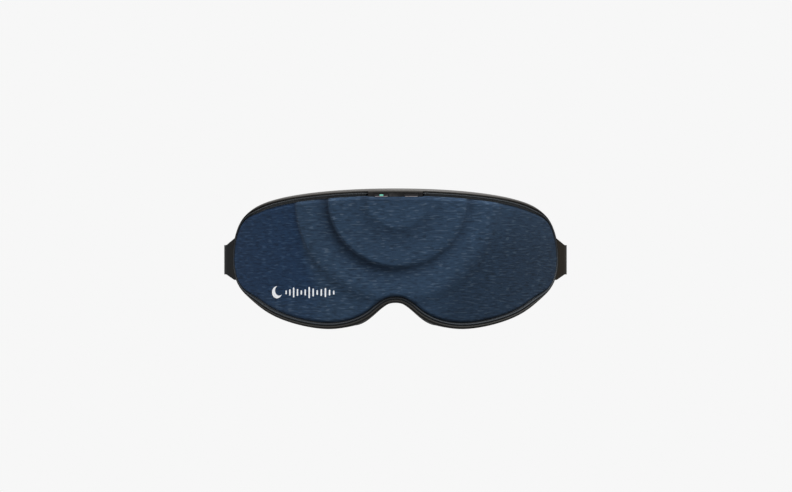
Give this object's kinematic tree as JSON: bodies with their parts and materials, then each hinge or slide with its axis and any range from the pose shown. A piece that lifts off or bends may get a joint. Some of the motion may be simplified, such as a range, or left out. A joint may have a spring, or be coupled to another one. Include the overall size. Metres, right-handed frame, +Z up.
{
  "type": "eye massager mask",
  "caption": "Curved padded eye massager mask with a fabric cover, pressing eye pads, a control strip at the top and an adjustable elastic head strap on hinged side arms.",
  "frame": {"origin": "middle of the face seat, at half the mask's height", "axes": "+Z up as worn, +Y from the front cover towards the wearer and the back of the head, +X to the right for someone looking at the front cover"},
  "size_m": [0.2324, 0.2394, 0.0924],
  "materials": {
    "cover_knit": "melange knit over foam",
    "foam": "soft foam",
    "graphite_plastic": "satin moulded",
    "shell_plastic": "matt moulded",
    "piping_cord": "braided edging",
    "cushion_leather": "soft matt protein leather",
    "nose_fabric": "stretch cloth",
    "pad_silicone": "matt silicone",
    "bladder_film": "translucent film",
    "heater_film": "amber polyimide",
    "print_white": "printed ink",
    "button_plastic": "polished",
    "light_lens": "clear lens",
    "circuit_board": "solder mask",
    "chip_black": "epoxy",
    "led_white": "diffuser",
    "battery_foil": "foil pouch",
    "bracket_metal": "pressed",
    "screw_steel": "zinc plated",
    "motor_steel": "drawn can",
    "pump_plastic": "moulded",
    "tube_silicone": "translucent",
    "lead_jacket": "insulated",
    "strap_elastic": "woven elastic"
  },
  "bodies": {
    "mask": {"front_cover": "cover_knit", "foam_layer": "foam", "front_shell": "shell_plastic", "trim_band": "graphite_plastic", "piping": "piping_cord", "print_mark": "print_white", "control_strip": "graphite_plastic", "control_board": "circuit_board", "tact_switches": "chip_black", "status_led": "led_white", "chassis": "shell_plastic", "face_cushion": "cushion_leather", "nose_seal": "nose_fabric", "battery": "battery_foil", "battery_bracket": "bracket_metal", "main_board": "circuit_board", "board_chips": "chip_black", "board_screws": "screw_steel", "case_screws": "screw_steel", "charge_board": "circuit_board", "charge_port": "motor_steel", "air_pump": "pump_plastic", "pump_motor": "motor_steel", "release_valve": "motor_steel", "air_manifold": "pump_plastic", "air_tubes": "tube_silicone", "wiring": "lead_jacket", "motor_clips": "pump_plastic", "strap_back": "strap_elastic", "left_eye_tray": "shell_plastic", "left_air_bladder": "bladder_film", "left_vibration_motor": "motor_steel", "left_arm_pin": "screw_steel", "right_eye_tray": "shell_plastic", "right_air_bladder": "bladder_film", "right_vibration_motor": "motor_steel", "right_arm_pin": "screw_steel"},
    "power_button": {"power_button": "button_plastic", "light_window": "light_lens"},
    "mode_button": {"mode_button": "button_plastic"},
    "valve_plunger": {"valve_plunger": "screw_steel"},
    "left_arm": {"left_strap_arm": "graphite_plastic", "strap_left_run": "strap_elastic"},
    "right_arm": {"right_strap_arm": "graphite_plastic", "strap_right_run": "strap_elastic", "strap_right_return": "strap_elastic"},
    "strap_slider": {"strap_slider": "graphite_plastic"},
    "left_pad": {"left_massage_pad": "pad_silicone", "left_heater_film": "heater_film", "left_pad_plate": "shell_plastic"},
    "left_motor_weight": {"left_motor_weight": "screw_steel"},
    "right_pad": {"right_massage_pad": "pad_silicone", "right_heater_film": "heater_film", "right_pad_plate": "shell_plastic"},
    "right_motor_weight": {"right_motor_weight": "screw_steel"}
  },
  "joints": [
    {"name": "power_button_press", "type": "slide", "parent": "mask", "child": "power_button", "axis": [0.0657, 0.9978, 0], "range_m": [0, 0.0005], "stiffness_N_per_m": 600, "springref_m": -0.001},
    {"name": "mode_button_press", "type": "slide", "parent": "mask", "child": "mode_button", "axis": [-0.0742, 0.9972, 0], "range_m": [0, 0.0005], "stiffness_N_per_m": 600, "springref_m": -0.001},
    {"name": "valve_plunger_slide", "type": "slide", "parent": "mask", "child": "valve_plunger", "axis": [0, 0, -1], "range_m": [0, 0.0008], "stiffness_N_per_m": 300, "springref_m": -0.001},
    {"name": "left_arm_hinge", "type": "hinge", "parent": "mask", "child": "left_arm", "pos_m": [-0.0976, 0.0276, 0], "axis": [0, 0, 1], "range_deg": [-20, 12], "deforming": ["strap_left_run"]},
    {"name": "right_arm_hinge", "type": "hinge", "parent": "mask", "child": "right_arm", "pos_m": [0.0976, 0.0276, 0], "axis": [0, 0, -1], "range_deg": [-20, 12], "deforming": ["strap_right_run", "strap_right_return"]},
    {"name": "strap_slider_slide", "type": "slide", "parent": "right_arm", "child": "strap_slider", "axis": [-0.371, 0.9286, 0], "range_m": [-0.016, 0.024], "deforming": ["strap_right_return"]},
    {"name": "left_pad_travel", "type": "slide", "parent": "mask", "child": "left_pad", "axis": [0.3173, 0.9483, 0], "range_m": [0, 0.004], "deforming": ["left_air_bladder"]},
    {"name": "right_pad_travel", "type": "slide", "parent": "mask", "child": "right_pad", "axis": [-0.3173, 0.9483, 0], "range_m": [0, 0.004], "deforming": ["right_air_bladder"]},
    {"name": "left_motor_spin", "type": "hinge", "parent": "mask", "child": "left_motor_weight", "pos_m": [-0.03992, -0.0193, -0.009], "axis": [0.9483, -0.3173, 0], "continuous": true},
    {"name": "right_motor_spin", "type": "hinge", "parent": "mask", "child": "right_motor_weight", "pos_m": [0.03992, -0.0193, -0.009], "axis": [0.9483, 0.3173, 0], "continuous": true}
  ],
  "couplings": [
    {"joint": "right_pad_travel", "follows": "left_pad_travel", "ratio": 1}
  ]
}
